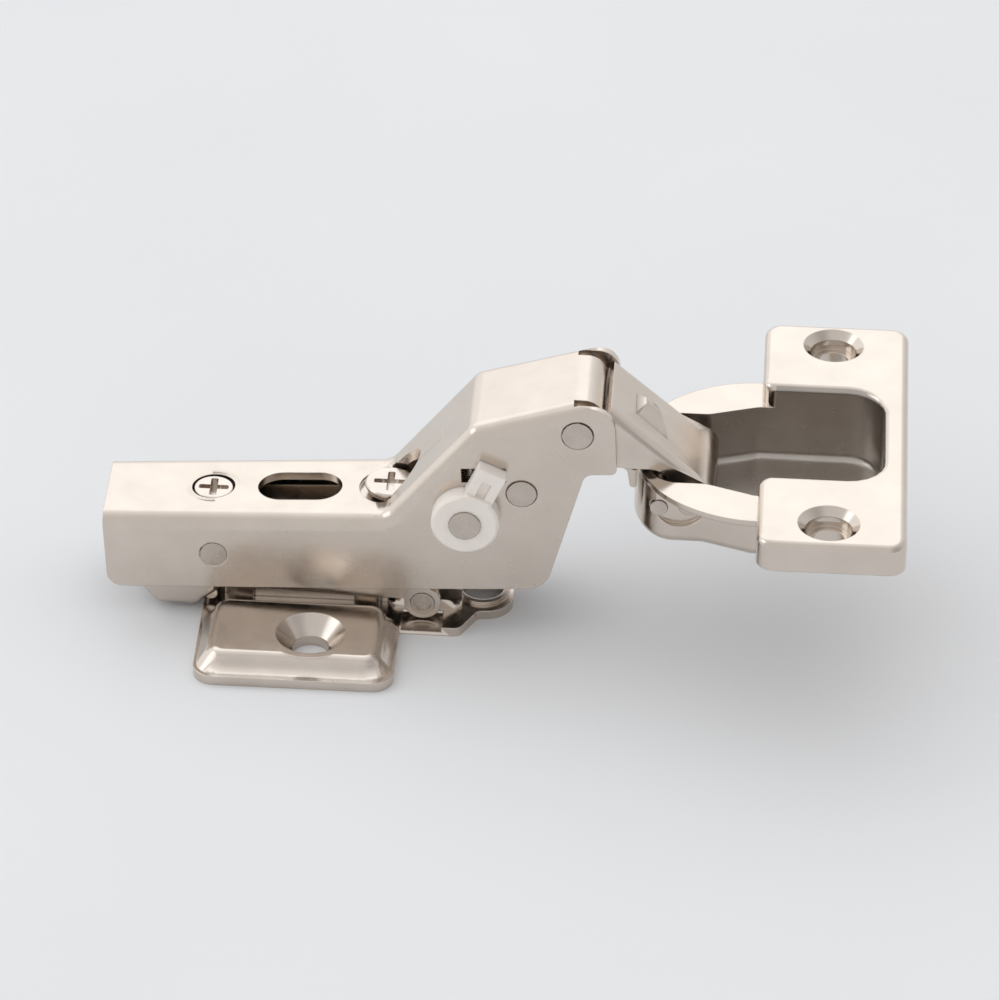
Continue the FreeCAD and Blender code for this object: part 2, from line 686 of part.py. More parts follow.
def fixing_screw():
    body = new_body("fixing_screw")
    turn(body, "Revolution", outline(body, "XZ_Plane", [
        ("0", "ShankEnd"), ("ShankRadius - 0.4", "ShankEnd"), ("ShankRadius", "ShankEnd + 0.4"),
        ("ShankRadius", "HeadBottom"), ("HeadLowerRadius", "HeadBottom"),
        ("HeadLowerRadius", "HeadTop - HeadStep"), ("HeadRadius", "HeadTop - HeadStep"),
        ("HeadRadius", "HeadTop - 0.2"), ("HeadRadius - 0.2", "HeadTop"), ("0", "HeadTop")]))
    cross_recess(body, "HeadTop", "CrossLength", "CrossDepth")
    place(body, "SaddlePlace")
    return body


def adjusting_screw():
    body = new_body("adjusting_screw")
    low = "AdapterTop - AdapterSheet - RetainerSheet - 0.05"
    turn(body, "Revolution", outline(body, "XZ_Plane", [
        ("0", low), ("AdjusterNeck", low), ("AdjusterNeck", "AdjusterBottom"),
        ("AdjusterRadius", "AdjusterBottom"), ("AdjusterRadius", "AdjusterTop"), ("0", "AdjusterTop")]))
    cross_recess(body, "AdjusterTop", "AdjusterCross", "CrossDepth")
    place(body, "AdjusterPlace")
    return body


def foot_retainer():
    body = new_body("foot_retainer")
    top = "AdapterTop - AdapterSheet - 0.03"
    turn(body, "Revolution", outline(body, "XZ_Plane", [
        ("AdjusterNeck + RunGap", f"{top} - RetainerSheet"), ("RetainerRadius", f"{top} - RetainerSheet"),
        ("RetainerRadius", top), ("AdjusterNeck + RunGap", top)]))
    place(body, "AdjusterPlace")
    return body


def arm():
    body = new_body("arm")
    block(body, "XZ_Plane", [
        ("ArmRear", "ArmBottom", "ArmRearCorner"), ("ArmRear", "ArmTop"),
        ("SlopeStart", "ArmTop", "CrankBend"), ("SlopeEnd", "HumpStartHeight", "CrankBend"),
        ("HumpEnd", "HumpEndHeight"), ("EarFront", "EarTop"),
        ("EarFront", "EarBottom", "0.9"), ("ThroatPlace", "EarBottom", "ThroatCorner"),
        ("ArmFrontBottom", "ArmBottom", "ArmFrontCorner")], "2 * ArmHalf")
    for side in ("", "-"):
        block(body, "XY_Plane", [
            ("ArmRear - 1", f"{side}ArmRearHalf"), ("ArmRear", f"{side}ArmRearHalf"),
            ("SlopeStart", f"{side}ArmHalf"), ("SlopeStart", f"{side}ArmHalf * 2"),
            ("ArmRear - 1", f"{side}ArmHalf * 2")], "120", kind="Pocket")
    above = size("ArmTop") - 0.01
    front = size("HumpEnd") - 0.5
    rear = size("ArmRear") + 0.01

    def top_rim(edge):
        middle = edge.CenterOfMass
        return (edge.BoundBox.ZMin > above and abs(middle.y) > 7 and edge.BoundBox.YLength < 0.7
                and edge.BoundBox.XMax > rear and middle.x < front)

    round_edges(body, "ArmBend", top_rim)
    block(body, "XZ_Plane", [
        ("-60", "-20"), ("-60", "WebUnder"), ("UnderSlopeStart", "WebUnder", "CrankBend + ArmSheet"),
        ("UnderSlopeEnd", "UnderHumpStart", "CrankBend - ArmSheet"), ("HumpEnd", "UnderHumpEnd"),
        ("TongueFront - ArmSheet", "UnderHumpEnd", "TongueBend - ArmSheet"),
        ("TongueFront - ArmSheet", "TongueEnd"), ("60", "TongueEnd"), ("60", "-20")],
        "2 * ArmInner", kind="Pocket")
    block(body, "XZ_Plane", box_corners("TongueFront", "60", "-20", "60"), "2 * ArmInner", kind="Pocket")
    for side in ("", "-"):
        block(body, "XY_Plane", box_corners("HumpEnd", "60", f"{side}TongueHalf", f"{side}ArmInner"),
              "60", both=False, lift="TongueEnd - 2", kind="Pocket", backward=True)
    tip = size("TongueFront") - 0.01
    lip_top = size("TongueEnd") + 1
    round_edges(body, "TongueBend", lambda edge: edge.BoundBox.XMin > tip and edge.BoundBox.XLength < 0.5
                and edge.BoundBox.ZMin > lip_top and edge.BoundBox.YLength > 8)
    ear_front = size("EarFront") - 0.01
    ear_top = size("EarTop") - 0.01
    round_edges(body, "EarCorner", lambda edge: edge.BoundBox.XMin > ear_front
                and edge.BoundBox.ZMin > ear_top)
    shelf = slot(body, "XY_Plane", "DishPlace", "DishPlace + DishTravel", "0", "DishRadius + 0.8",
                 lift="DishFloor - ArmSheet")
    feature(body, "Pad", shelf, "ArmSheet", both=False)
    dish = slot(body, "XY_Plane", "DishPlace", "DishPlace + DishTravel", "0", "DishRadius", lift="DishFloor")
    feature(body, "Pocket", dish, "DishHeight - DishFloor", both=False, backward=True)
    through = "12"
    shank = slot(body, "XY_Plane", "DishPlace - 0.6", "DishPlace + DishTravel + 0.1", "0", "ShankRadius + 0.15",
                 lift="ArmTop")
    feature(body, "Pocket", shank, "ArmSheet * 6", both=True)
    driver = slot(body, "XY_Plane", "DishPlace", "DriverSlotEnd", "0", "DriverSlotHalf", lift="ArmTop")
    feature(body, "Pocket", driver, through, both=False, backward=True)
    oval = slot(body, "XY_Plane", "OvalRear + OvalHalf", "OvalFront - OvalHalf", "0", "OvalHalf", lift="ArmTop")
    feature(body, "Pocket", oval, through, both=True)
    adjuster = circle(body, "XY_Plane", "AdjusterHolePlace", "0", "AdjusterRadius + 0.1", lift="ArmTop")
    feature(body, "Pocket", adjuster, through, both=True)
    block(body, "XZ_Plane", box_corners("WindowRear", "WindowFront", "WindowBottom", "WindowTop"),
          "60", kind="Pocket")
    for x, z, radius in (("OuterPinPlace", "OuterPinHeight", "OuterPinHead"),
                         ("InnerPinPlace", "InnerPinHeight", "InnerPinHead"),
                         ("AxlePlace", "AxleHeight", "AxleRadius"), ("RivetPlace", "RivetHeight", "RivetHead")):
        hole = circle(body, "XZ_Plane", x, z, f"{radius} + FitGap")
        feature(body, "Pocket", hole, "60", both=True)
    place(body, nose_down="-ArmPitch")
    return body


def in_arm(body, x, z):
    """Put a piece at a place given in the arm's frame."""
    place(body, f"{x} * cos(ArmPitch) - {z} * sin(ArmPitch)", f"{x} * sin(ArmPitch) + {z} * cos(ArmPitch)",
          "-ArmPitch")
    return body


def guide_rivet():
    flush = "ArmHalf - 0.45"
    inner = "ArmInner - 0.45"
    return in_arm(turned_pin("guide_rivet", [
        ("RivetHead", f"-({flush})"), ("RivetHead", f"-({inner})"), ("RivetShank", f"-({inner})"),
        ("RivetShank", inner), ("RivetHead", inner), ("RivetHead", flush)]), "RivetPlace", "RivetHeight")


def outer_link_pin():
    return in_arm(headed_pin("outer_link_pin", "OuterPinHead", "OuterPinShank", "PinStand"),
                  "OuterPinPlace", "OuterPinHeight")


def inner_link_pin():
    return in_arm(headed_pin("inner_link_pin", "InnerPinHead", "InnerPinShank", "PinStand"),
                  "InnerPinPlace", "InnerPinHeight")


def spacer(name, side):
    body = turned_pin(name, [("SpacerRadius", f"{side}(InnerHalf + SlideGap)"),
                             ("SpacerRadius", f"{side}(ArmInner - RunGap)")])
    hole = circle(body, "XZ_Plane", "0", "0", "InnerPinShank + FitGap")
    feature(body, "Pocket", hole, "60", both=True)
    return in_arm(body, "InnerPinPlace", "InnerPinHeight")


def spring_axle():
    out = "ArmHalf + CollarThickness + AxleStand"
    return in_arm(turned_pin("spring_axle", [("AxleRadius", f"-({out})"), ("AxleRadius", out)]),
                  "AxlePlace", "AxleHeight")


def nylon_collar(name, side):
    """A collar on one arm wall: the sketch plane's normal points to the front."""
    body = new_body(name)
    back = side == ""
    sign = "-" if back else ""
    wall = f"{sign}(ArmHalf + FitGap)"
    disc = circle(body, "XZ_Plane", "0", "0", "CollarRadius", lift=wall)
    feature(body, "Pad", disc, "CollarThickness", both=False, backward=back)
    block(body, "XZ_Plane", box_corners("0", "CollarLength", "-CollarLugHalf", "CollarLugHalf"),
          "CollarThickness", both=False, lift=wall, backward=back)
    face = size("ArmHalf") + size("FitGap") + size("CollarThickness") - 0.01
    round_edges(body, "CollarChamfer", lambda edge: abs(edge.CenterOfMass.y) > face
                and edge.BoundBox.YLength < 0.01, kind="Chamfer")
    block(body, "XZ_Plane", box_corners("CollarLength - 2.6", "CollarLength - 1.5", "-0.8", "0.8"),
          "CollarThickness + ArmSheet", both=False, lift=f"{sign}(ArmInner + FitGap)", backward=back)
    hole = circle(body, "XZ_Plane", "0", "0", "AxleRadius + FitGap")
    feature(body, "Pocket", hole, "60", both=True)
    place(body, "AxlePlace * cos(ArmPitch) - AxleHeight * sin(ArmPitch)",
          "AxlePlace * sin(ArmPitch) + AxleHeight * cos(ArmPitch)", "-ArmPitch - CollarAngle")
    return body


def torsion_spring(name, side):
    body = new_body(name)
    turn(body, "Revolution", outline(body, "XY_Plane", [
        ("AxleRadius + 0.3", f"{side}SpringInner"), ("SpringCoil + SpringWire", f"{side}SpringInner"),
        ("SpringCoil + SpringWire", f"{side}SpringOuter"), ("AxleRadius + 0.3", f"{side}SpringOuter")]))
    return in_arm(body, "AxlePlace", "AxleHeight")


def outer_link():
    body = new_body("outer_link")
    wrap = "LinkWrap"
    block(body, "XZ_Plane", [
        ("LinkWebRear", "-1.9"), ("7.95", "-1.9", "6"), ("12.9", "1.5", "3"),
        ("LinkLength - 1", "-0.6"), (f"LinkLength + {wrap}", "0.3"),
        (f"LinkLength + {wrap}", f"{wrap} - 0.2", f"{wrap} - 0.6"),
        ("LinkLength - 1", "LinkTopFront"), ("LinkWebRear", "LinkTopRear")], "2 * LinkHalf")
    over = size("LinkTopFront") - 0.3
    round_edges(body, "LinkBend", lambda edge: edge.CenterOfMass.z > over
                and edge.BoundBox.YLength < 0.1 and edge.BoundBox.XLength > 5)
    block(body, "XZ_Plane", [
        ("0", "-LinkEye"), ("6", "-2.1"), ("6", "0"), ("LinkWebRear", "LinkTopRear - LinkBend"),
        ("-0.7 * LinkEye", "0.7 * LinkEye"), ("-LinkEye", "0")], "2 * LinkHalf")
    for x, radius in (("0", "LinkEye"), ("LinkLength", "LinkEar")):
        end = circle(body, "XZ_Plane", x, "0", radius)
        feature(body, "Pad", end, "2 * LinkHalf", both=True)
    block(body, "XZ_Plane", [
        ("-9", "-9"), ("-9", "12"), ("LinkWebRear", "12"),
        ("LinkWebRear", "LinkTopRear - LinkSheet"), ("LinkLength - 1", "LinkTopFront - LinkSheet"),
        (f"LinkLength + {wrap} - LinkSheet", f"{wrap} - 0.2 - LinkSheet", f"{wrap} - 1.7 - LinkSheet"),
        (f"LinkLength + {wrap} - LinkSheet", "-9")],
        "2 * (LinkHalf - LinkSheet)", kind="Pocket")
    block(body, "XZ_Plane", box_corners("LinkLength", "LinkLength + LinkWrap + 1", "-9", "LinkWebEnd"),
          "2 * (LinkHalf - LinkSheet)", kind="Pocket")
    block(body, "XZ_Plane", box_corners("LinkLength + LinkEar + 0.3", "LinkLength + LinkWrap + 1", "-9",
                                        "LinkWebEnd"), "3 * LinkHalf", kind="Pocket")
    for x, radius in (("0", "OuterPinShank"), ("LinkLength", "CupOuterPin")):
        hole = circle(body, "XZ_Plane", x, "0", f"{radius} + RunGap")
        feature(body, "Pocket", hole, "60", both=True)
    place(body, "OuterPinWorldX", "OuterPinWorldZ", "LinkAngle")
    return body


def inner_link():
    body = new_body("inner_link")
    far = "InnerLength"
    block(body, "XZ_Plane", [
        ("SlotPlace - SlotWide - InnerPinShank - SlotWall", "-3.9", "2.4"),
        ("SlotPlace + SlotWide + InnerPinShank + SlotWall", "-3.9", "2.4"),
        (f"{far} - ArchRear", "ArchLow", "2"), (f"{far} - ArchFront", "ArchLow", "1"),
        (f"{far} - ArchFront + 0.6", "-NeckLowSide", "0.5"), (f"{far} - 2", "-NeckLowSide"),
        (far, "-InnerEye"), (f"{far} + InnerEye", "-InnerEye", "InnerEye - 0.1"),
        (f"{far} + InnerEye", "InnerEye", "InnerEye - 0.1"), (f"{far} - 1.6", "InnerEye - 0.3", "0.5"),
        (f"{far} - ArchFront + 0.6", "NeckTopSide", "1"), (f"{far} - ArchFront - 1.4", "ArchTop", "1.5"),
        (f"{far} - ArchRear", "ArchTop", "2"),
        ("SlotPlace - SlotWide - InnerPinShank - SlotWall", "4.8", "2.4")], "2 * InnerHalf")
    opening = outline(body, "XZ_Plane", box_corners(
        "SlotPlace - SlotWide - InnerPinShank - SlotGap", "SlotPlace + SlotWide + InnerPinShank + SlotGap",
        "SlotHeight - SlotTall - InnerPinShank - SlotGap", "SlotHeight + SlotTall + InnerPinShank + SlotGap"))
    feature(body, "Pocket", opening, "60", both=True)
    inside = size("InnerPinShank") + size("SlotGap") + size("SlotWide") + size("SlotPlace") + 0.1

    def slot_corner(edge):
        middle = edge.CenterOfMass
        return edge.BoundBox.YLength > 1 and edge.BoundBox.XLength < 0.01 and edge.BoundBox.ZLength < 0.01 \
            and -inside < middle.x < inside and -3 < middle.z < 3.5

    round_edges(body, "SlotCorner", slot_corner)
    hole = circle(body, "XZ_Plane", far, "0", "CupInnerPin + RunGap")
    feature(body, "Pocket", hole, "60", both=True)
    place(body, "InnerPinWorldX", "InnerPinWorldZ", "InnerAngle")
    return body


def pot_outline(wall):
    """The pot's outline seen from above, or the hollow's one wall further in."""
    half = [(f"-(PotRear - {wall})", f"PotEndHalf - 0.25 * {wall}", f"8 - {wall}"),
            (f"PotShoulderPlace + 0.75 * {wall}", f"PotShoulderHalf - 0.65 * {wall}", f"6 - {wall}"),
            (f"PotSideStart + 0.35 * {wall}", f"PotNarrow - {wall}", f"4 - {wall}"),
            (f"PotDiagonalStart + 0.3 * {wall}", f"PotNarrow - {wall}", "3"),
            (f"PotDiagonalEnd + 0.3 * {wall}", f"PotWide - {wall}", "3"),
            (f"PotFront - {wall}", f"PotWide - {wall}", f"PotCorner - 1.7 * {wall}")]
    mirrored = [(x, f"-({y})", radius) for x, y, radius in reversed(half)]
    return half + mirrored


def cup():
    body = new_body("cup")
    pot = pot_outline("0")
    block(body, "XY_Plane", pot, "CupDepth + CupDiscTop", both=False, lift="CupDiscTop", backward=True)
    floor = -size("CupDepth") + 0.01
    round_edges(body, "1.5", lambda edge: edge.BoundBox.ZMax < floor)
    block(body, "XY_Plane", box_corners("0", "FlangeLength", "-FlangeHalf", "FlangeHalf", "FlangeCorner"),
          "-DoorFace", both=False, backward=True)
    round_edges(body, "FlangeRounding", lambda edge: is_level(edge, 0))
    for side in ("", "-"):
        block(body, "XY_Plane", box_corners(
            "CupWall", "FlangeLength - CupWall", f"{side}(PotWide + 1)", f"{side}(FlangeHalf - CupWall)",
            "FlangeCorner - CupWall"), "-DoorFace - CupWall", both=False, lift="DoorFace", kind="Pocket",
            backward=True)
        boss = circle(body, "XY_Plane", "CupScrewPlace", f"{side}CupScrewPitch / 2", "CupSeatTop + CupWall",
                      lift="DoorFace")
        feature(body, "Pad", boss, "-DoorFace - 0.5", both=False)
    disc = circle(body, "XY_Plane", "0", "0", "CupDisc", lift="DoorFace")
    feature(body, "Pad", disc, "CupDiscTop - DoorFace", both=False)
    hollow = pot_outline("CupWall")
    block(body, "XY_Plane", hollow, "CupDepth - CupWall", both=False, kind="Pocket")
    mouth = outline(body, "XZ_Plane", box_corners("-30", "-PotRear + CupWall + 2", "LinkSlotBottom", "5"))
    feature(body, "Pocket", mouth, "2 * LinkSlotHalf", both=True)
    for side in ("", "-"):
        dish = circle(body, "XZ_Plane", "RecessPlace", "RecessHeight", "RecessRadius",
                      lift=f"{side}PotNarrow")
        feature(body, "Pocket", dish, "2 * RecessDepth", both=True)
        seat = outline(body, "YZ_Plane", [
            (f"{side}CupScrewPitch / 2", "DoorFace - 2"),
            (f"{side}CupScrewPitch / 2 + CupScrewHole", "DoorFace - 2"),
            (f"{side}CupScrewPitch / 2 + CupScrewHole", "-CupLedge * 2"),
            (f"{side}CupScrewPitch / 2 + CupSeatLower", "-CupLedge * 2"),
            (f"{side}CupScrewPitch / 2 + CupSeatLower", "-(CupSeatTop - CupSeatLower)"),
            (f"{side}CupScrewPitch / 2 + CupSeatTop", "0"), (f"{side}CupScrewPitch / 2 + CupSeatTop", "1"),
            (f"{side}CupScrewPitch / 2", "1")], lift="CupScrewPlace")
        axis = len(seat.Geometry)
        seat.addGeometry(Part.LineSegment(FreeCAD.Vector(0, 0), FreeCAD.Vector(0, 5)), True)
        pin_point(seat, axis, 1, f"{side}CupScrewPitch / 2", "0")
        pin_point(seat, axis, 2, f"{side}CupScrewPitch / 2", "5")
        turn(body, "Groove", seat, "Axis0")
    for x, z, radius in (("CupOuterPlace", "CupOuterHeight", "CupOuterPin"),
                         ("CupInnerPlace", "CupInnerHeight", "CupInnerPin")):
        hole = circle(body, "XZ_Plane", x, z, f"{radius} + FitGap")
        feature(body, "Pocket", hole, "60", both=True)
    place(body, "CupPlace", "CupHeight")
    return body


def cup_pin(name, x, z, radius):
    body = turned_pin(name, [(radius, "-(PinWall + PinStand)"), (radius, "PinWall + PinStand")])
    place(body, x, z)
    return body


BUILDERS = [
    base_plate, adapter, hook_pin, lever_pin, release_lever, fixing_screw, adjusting_screw, foot_retainer,
    arm, guide_rivet, outer_link_pin, inner_link_pin, spring_axle, outer_link, inner_link, cup]
bodies = [build() for build in BUILDERS]
for end, side in (("front", "-"), ("back", "")):
    bodies.append(spacer("link_spacer_" + end, side))
    bodies.append(nylon_collar("nylon_collar_" + end, side))
    bodies.append(torsion_spring("torsion_spring_" + end, side))
bodies.append(cup_pin("cup_outer_pin", "CupPinWorldX", "CupPinWorldZ", "CupOuterPin"))
bodies.append(cup_pin("cup_inner_pin", "CupInnerWorldX", "CupInnerWorldZ", "CupInnerPin"))
doc.recompute()
for item in doc.Objects:
    if "Invalid" in item.State or "Error" in item.State:
        raise RuntimeError(item.Name + " " + str(item.State))
os.makedirs("parts", exist_ok=True)
for body in bodies:
    shape = body.Shape
    if shape.isNull() or not shape.isValid():
        raise RuntimeError(body.Label + " has no valid shape")
    shape.exportStep(f"parts/{body.Label}.step")
    print(body.Label, round(shape.Volume, 1), len(shape.Solids))
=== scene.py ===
import math

import bmesh
import bpy
from mathutils import Matrix, Vector


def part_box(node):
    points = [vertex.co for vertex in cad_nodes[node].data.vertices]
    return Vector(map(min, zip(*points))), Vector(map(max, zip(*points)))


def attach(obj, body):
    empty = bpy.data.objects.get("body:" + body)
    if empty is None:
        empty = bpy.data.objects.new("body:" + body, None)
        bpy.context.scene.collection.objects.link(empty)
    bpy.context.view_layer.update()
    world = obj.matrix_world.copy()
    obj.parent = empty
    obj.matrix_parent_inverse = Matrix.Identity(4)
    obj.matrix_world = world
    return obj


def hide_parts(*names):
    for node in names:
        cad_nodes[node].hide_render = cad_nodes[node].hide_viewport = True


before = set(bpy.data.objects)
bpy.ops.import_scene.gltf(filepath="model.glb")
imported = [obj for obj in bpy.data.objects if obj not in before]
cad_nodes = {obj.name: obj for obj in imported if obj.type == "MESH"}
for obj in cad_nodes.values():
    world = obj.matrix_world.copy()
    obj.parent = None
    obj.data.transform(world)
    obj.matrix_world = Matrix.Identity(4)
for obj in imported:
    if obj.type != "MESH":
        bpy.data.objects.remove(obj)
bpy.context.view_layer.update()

mm = 0.001


# ---------------------------------------------------------------- camera

def set_camera():
    """The photograph's own viewpoint: a long lens, 34 degrees above the bench, a little to the right."""
    lens = bpy.data.cameras.new("photo_lens")
    lens.lens = 216.0
    lens.sensor_width = 36.0
    lens.clip_start, lens.clip_end = 0.05, 20.0
    camera = bpy.data.objects.new("photo_camera", lens)
    right = Vector((0.998078, 0.060269, 0.014407))
    up = Vector((-0.045626, 0.557436, 0.828965))
    back = Vector((0.041930, -0.828029, 0.559115))
    turn = Matrix((right, up, back)).transposed().to_4x4()
    camera.matrix_world = Matrix.Translation((0.062686, -0.698482, 0.488565)) @ turn
    bpy.context.scene.collection.objects.link(camera)
    bpy.context.scene.camera = camera


# ---------------------------------------------------------------- studio

def lay_bench():
    """A matt bench top, pale bluish grey, that carries on to the horizon."""
    top = bmesh.new()
    bmesh.ops.create_grid(top, x_segments=2, y_segments=2, size=6.0)
    mesh = bpy.data.meshes.new("bench_top")
    top.to_mesh(mesh)
    top.free()
    bench = bpy.data.objects.new("bench_top", mesh)
    bpy.context.scene.collection.objects.link(bench)
    paint = bpy.data.materials.new("bench_paint")
    paint.use_nodes = True
    nodes, links = paint.node_tree.nodes, paint.node_tree.links
    shader = nodes["Principled BSDF"]
    shader.inputs["Roughness"].default_value = 0.9
    shader.inputs["Specular IOR Level"].default_value = 0.2
    place = nodes.new("ShaderNodeTexCoord")
    cloud = nodes.new("ShaderNodeTexNoise")
    cloud.inputs["Scale"].default_value = 9.0
    cloud.inputs["Detail"].default_value = 4.0
    tint = nodes.new("ShaderNodeValToRGB")
    tint.color_ramp.elements[0].position = 0.35
    tint.color_ramp.elements[0].color = (0.800, 0.809, 0.826, 1.0)
    tint.color_ramp.elements[1].position = 0.70
    tint.color_ramp.elements[1].color = (0.830, 0.836, 0.847, 1.0)
    links.new(place.outputs["Object"], cloud.inputs["Vector"])
    links.new(cloud.outputs["Fac"], tint.inputs["Fac"])
    links.new(tint.outputs["Color"], shader.inputs["Base Color"])
    bench.data.materials.append(paint)


def light_studio():
    """One wide overhead diffuser behind the bench, its tops nearly white in it, and a plain room round it
    that is dimmer behind the camera."""
    room = bpy.data.worlds.new("studio_room")
    bpy.context.scene.world = room
    room.use_nodes = True
    nodes, links = room.node_tree.nodes, room.node_tree.links
    glow = nodes["Background"]
    where = nodes.new("ShaderNodeTexCoord")
    split = nodes.new("ShaderNodeSeparateXYZ")
    links.new(where.outputs["Generated"], split.inputs["Vector"])
    depth = nodes.new("ShaderNodeMapRange")
    depth.interpolation_type = "SMOOTHSTEP"
    depth.inputs["From Min"].default_value = -0.55
    depth.inputs["From Max"].default_value = 0.50
    links.new(split.outputs["Y"], depth.inputs["Value"])
    shade = nodes.new("ShaderNodeValToRGB")
    shade.color_ramp.elements[0].color = (0.66, 0.66, 0.66, 1.0)
    shade.color_ramp.elements[1].color = (1.0, 1.0, 1.0, 1.0)
    links.new(depth.outputs["Result"], shade.inputs["Fac"])
    links.new(shade.outputs["Color"], glow.inputs["Color"])
    dim = nodes.new("ShaderNodeMapRange")
    dim.interpolation_type = "SMOOTHSTEP"
    dim.inputs["From Min"].default_value = 0.10
    dim.inputs["From Max"].default_value = 0.65
    dim.inputs["To Min"].default_value = 1.18
    dim.inputs["To Max"].default_value = 0.76
    links.new(split.outputs["X"], dim.inputs["Value"])
    links.new(dim.outputs["Result"], glow.inputs["Strength"])

    for name, spot, width, depth_m, power in (
        ("overhead_diffuser", (-0.45, 1.25, 1.35), 1.9, 1.3, 3.3),
        ("side_diffuser", (-1.5, -0.1, 0.9), 0.9, 0.9, 2.5),
    ):
        lamp = bpy.data.lights.new(name, "AREA")
        lamp.shape = "RECTANGLE"
        lamp.size, lamp.size_y = width, depth_m
        lamp.energy = power
        lamp.color = (0.88, 0.95, 1.0)
        holder = bpy.data.objects.new(name, lamp)
        holder.location = spot
        aim = Vector((0.03, 0.0, 0.02)) - Vector(spot)
        holder.rotation_mode = "QUATERNION"
        holder.rotation_quaternion = aim.to_track_quat("-Z", "Y")
        bpy.context.scene.collection.objects.link(holder)


# ---------------------------------------------------------------- finishes

class Finish:
    """A material under way, with short calls for the nodes that the finishes below share."""

    def __init__(self, name):
        self.material = bpy.data.materials.new(name)
        self.material.use_nodes = True
        self.nodes = self.material.node_tree.nodes
        self.links = self.material.node_tree.links
        self.shader = self.nodes["Principled BSDF"]
        self.place = self.nodes.new("ShaderNodeTexCoord")

    def stretched(self, scale):
        """The piece's own coordinates, stretched for a pattern that runs one way."""
        mapping = self.nodes.new("ShaderNodeMapping")
        mapping.inputs["Scale"].default_value = scale
        self.links.new(self.place.outputs["Object"], mapping.inputs["Vector"])
        return mapping.outputs["Vector"]

    def noise(self, scale, detail=2.0, rough=0.5, where=None):
        node = self.nodes.new("ShaderNodeTexNoise")
        node.inputs["Scale"].default_value = scale
        node.inputs["Detail"].default_value = detail
        node.inputs["Roughness"].default_value = rough
        self.links.new(where or self.place.outputs["Object"], node.inputs["Vector"])
        return node.outputs["Fac"]

    def ramp(self, value, stops):
        node = self.nodes.new("ShaderNodeValToRGB")
        for i, (spot, colour) in enumerate(stops):
            if i > 1:
                node.color_ramp.elements.new(spot)
            node.color_ramp.elements[i].position = spot
            node.color_ramp.elements[i].color = (*colour, 1.0)
        self.links.new(value, node.inputs["Fac"])
        return node.outputs["Color"]

    def span(self, value, low, high, start=0.3, end=0.7):
        node = self.nodes.new("ShaderNodeMapRange")
        node.inputs["From Min"].default_value = start
        node.inputs["From Max"].default_value = end
        node.inputs["To Min"].default_value = low
        node.inputs["To Max"].default_value = high
        self.links.new(value, node.inputs["Value"])
        return node.outputs["Result"]

    def eased_edges(self, radius):
        """Light caught by edges that are broken by tumbling before plating."""
        node = self.nodes.new("ShaderNodeBevel")
        node.samples = 6
        node.inputs["Radius"].default_value = radius
        return node.outputs["Normal"]

    def relief(self, height, depth, strength, under=None):
        node = self.nodes.new("ShaderNodeBump")
        node.inputs["Strength"].default_value = strength
        node.inputs["Distance"].default_value = depth
        self.links.new(height, node.inputs["Height"])
        if under is not None:
            self.links.new(under, node.inputs["Normal"])
        return node.outputs["Normal"]

    def set(self, socket, value):
        if isinstance(value, bpy.types.NodeSocket):
            self.links.new(value, self.shader.inputs[socket])
        else:
            self.shader.inputs[socket].default_value = value


def stamped_nickel(name, pale=(0.675, 0.602, 0.535), deep=(0.63, 0.56, 0.495), gloss=(0.20, 0.28),
                   peening=0.14, edge=0.15):
    """Satin nickel plate on stamped steel: cloudy plating, a fine peened grain and slow press waves."""
    finish = Finish(name)
    finish.set("Metallic", 1.0)
    finish.set("Base Color", finish.ramp(finish.noise(180.0, 4.0), ((0.30, deep), (0.70, pale))))
    finish.set("Roughness", finish.span(finish.noise(420.0, 3.0), *gloss))
    normal = finish.eased_edges(edge * mm)
    normal = finish.relief(finish.noise(95.0, 1.0), 0.10 * mm, 0.18, normal)
    normal = finish.relief(finish.noise(4200.0, 1.0, 0.5), 0.010 * mm, peening, normal)
    finish.set("Normal", normal)
    return finish.material


def turned_steel(name, pale, deep, gloss, edge=0.12, grain=0.15):
    """Plated wire cut and headed into pins and screws: brighter rims and a fine tumbled grain."""
    finish = Finish(name)
    finish.set("Metallic", 1.0)
    finish.set("Base Color", finish.ramp(finish.noise(450.0, 2.0), ((0.32, deep), (0.68, pale))))
    finish.set("Roughness", finish.span(finish.noise(900.0, 2.0), *gloss))
    normal = finish.eased_edges(edge * mm)
    normal = finish.relief(finish.noise(9000.0, 1.0, 0.5), 0.006 * mm, grain, normal)
    finish.set("Normal", normal)
    return finish.material


def moulded_nylon(name):
    """Natural nylon: milky, slightly see-through off-white with a soft moulded sheen."""
    finish = Finish(name)
    finish.set("Base Color", finish.ramp(finish.noise(240.0, 3.0), ((0.30, (0.905, 0.835, 0.775)),
                                                                   (0.72, (0.935, 0.87, 0.815)))))
    finish.set("Roughness", finish.span(finish.noise(900.0, 2.0), 0.34, 0.46))
    finish.set("Subsurface Weight", 0.30)
    finish.set("Subsurface Radius", (0.9 * mm, 0.75 * mm, 0.6 * mm))
    finish.set("Subsurface Scale", 1.0)
    normal = finish.eased_edges(0.18 * mm)
    normal = finish.relief(finish.noise(5200.0, 2.0), 0.008 * mm, 0.2, normal)
    finish.set("Normal", normal)
    return finish.material


def spring_wire(name):
    """Drawn spring steel, dark and dry, with faint lines along the wire."""
    finish = Finish(name)
    finish.set("Metallic", 1.0)
    finish.set("Base Color", finish.ramp(finish.noise(800.0, 3.0), ((0.30, (0.20, 0.185, 0.17)),
                                                                   (0.70, (0.33, 0.31, 0.29)))))
    finish.set("Roughness", finish.span(finish.noise(2600.0, 2.0), 0.28, 0.42))
    finish.set("Normal", finish.relief(finish.noise(6000.0, 2.0), 0.010 * mm, 0.4))
    return finish.material


def dress(finish, *names):
    """Puts one finish on the named CAD nodes."""
    for name in names:
        for slot in cad_nodes[name].material_slots:
            slot.material = finish


